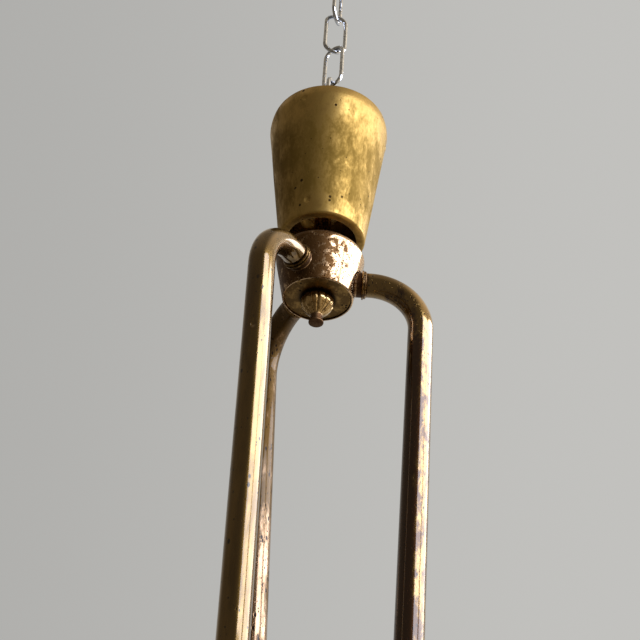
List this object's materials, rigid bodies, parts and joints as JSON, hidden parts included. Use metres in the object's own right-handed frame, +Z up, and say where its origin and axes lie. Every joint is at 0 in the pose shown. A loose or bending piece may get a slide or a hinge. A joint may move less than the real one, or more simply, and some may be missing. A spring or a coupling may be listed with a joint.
{
  "type": "pendant lamp suspension",
  "caption": "Brass pendant lamp head: chain, flared sliding cup and a tapered hub with bent tube arms that turn down to screw lamp holders.",
  "frame": {"origin": "centre of the ceiling plate's top face, where it meets the ceiling", "axes": "+Z up along the chain, stem and hub; +X near the first arm, with the other two arms 120 and 240 degrees on about +Z"},
  "size_m": [0.103, 0.1139, 0.6105],
  "materials": {
    "zinc_steel": "bright zinc plate with small dull patches",
    "plate_steel": "off-white enamel on pressed steel",
    "old_brass": "aged brass, satin",
    "stem_brass": "turned brass, lightly tarnished",
    "hub_brass": "aged cast brass with pits, pink and brown speckle and worn bright side",
    "cover_brass": "dark olive-brown brass with a dull face",
    "finial_brass": "turned brass with dark tarnish in the flutes",
    "canopy_brass": "spun brass, golden, streaked and spotted with age",
    "collar_brass": "dark aged brass with worn edges",
    "tube_brass_1": "aged brass tube, brown, with copper-coloured patches low down",
    "tube_brass_2": "aged brass tube, pinkish grey with heavy dark pits",
    "tube_brass_3": "aged brass tube, golden, with long streaks",
    "holder_brass": "spun brass, satin, aged",
    "porcelain": "unglazed white porcelain",
    "lead_sheath": "black flexible sheath"
  },
  "bodies": {
    "ceiling": {"ceiling_plate": "plate_steel", "ceiling_hook": "zinc_steel", "hook_nut": "zinc_steel"},
    "link_1": {"chain_link_1": "zinc_steel"},
    "link_2": {"chain_link_2": "zinc_steel"},
    "link_3": {"chain_link_3": "zinc_steel"},
    "link_4": {"chain_link_4": "zinc_steel"},
    "lamp": {"arm_collar_1": "collar_brass", "arm_collar_2": "collar_brass", "arm_collar_3": "collar_brass", "arm_lead_1": "lead_sheath", "arm_lead_2": "lead_sheath", "arm_lead_3": "lead_sheath", "arm_nipple_1": "stem_brass", "arm_nipple_2": "stem_brass", "arm_nipple_3": "stem_brass", "arm_nut_1": "old_brass", "arm_nut_2": "old_brass", "arm_nut_3": "old_brass", "arm_tube_1": "tube_brass_1", "arm_tube_2": "tube_brass_2", "arm_tube_3": "tube_brass_3", "eye_lock_nut": "old_brass", "finial": "finial_brass", "holder_cap_1": "holder_brass", "holder_cap_2": "holder_brass", "holder_cap_3": "holder_brass", "holder_contact_1": "stem_brass", "holder_contact_2": "stem_brass", "holder_contact_3": "stem_brass", "holder_core_1": "porcelain", "holder_core_2": "porcelain", "holder_core_3": "porcelain", "holder_nipple_1": "stem_brass", "holder_nipple_2": "stem_brass", "holder_nipple_3": "stem_brass", "holder_shell_1": "stem_brass", "holder_shell_2": "stem_brass", "holder_shell_3": "stem_brass", "holder_sleeve_1": "holder_brass", "holder_sleeve_2": "holder_brass", "holder_sleeve_3": "holder_brass", "hub_body": "hub_brass", "hub_cover": "cover_brass", "hub_nut": "old_brass", "hub_washer": "old_brass", "stem": "stem_brass", "stop_collar": "old_brass", "stop_screw": "old_brass", "suspension_eye": "old_brass", "terminal_block": "porcelain", "terminal_screw_1": "stem_brass", "terminal_screw_2": "stem_brass"},
    "canopy": {"canopy": "canopy_brass", "canopy_bridge": "canopy_brass"}
  },
  "joints": [
    {"name": "hook_swing", "type": "hinge", "parent": "ceiling", "child": "link_1", "pos_m": [0, 0, -0.03837], "axis": [0.9397, -0.342, 0], "range_deg": [-45, 45]},
    {"name": "link_2_swing", "type": "hinge", "parent": "link_1", "child": "link_2", "pos_m": [0, 0, -0.07392], "axis": [0.342, 0.9397, 0], "range_deg": [-40, 40]},
    {"name": "link_3_swing", "type": "hinge", "parent": "link_2", "child": "link_3", "pos_m": [0, 0, -0.11007], "axis": [0.9781, 0.2079, 0], "range_deg": [-40, 40]},
    {"name": "link_4_swing", "type": "hinge", "parent": "link_3", "child": "link_4", "pos_m": [0, 0, -0.14622], "axis": [0.788, -0.6157, 0], "range_deg": [-40, 40]},
    {"name": "lamp_swing", "type": "hinge", "parent": "link_4", "child": "lamp", "pos_m": [0, 0, -0.18237], "axis": [0.342, 0.9397, 0], "range_deg": [-40, 40]},
    {"name": "canopy_slide", "type": "slide", "parent": "lamp", "child": "canopy", "axis": [0, 0, 1], "range_m": [0, 0.03]}
  ]
}
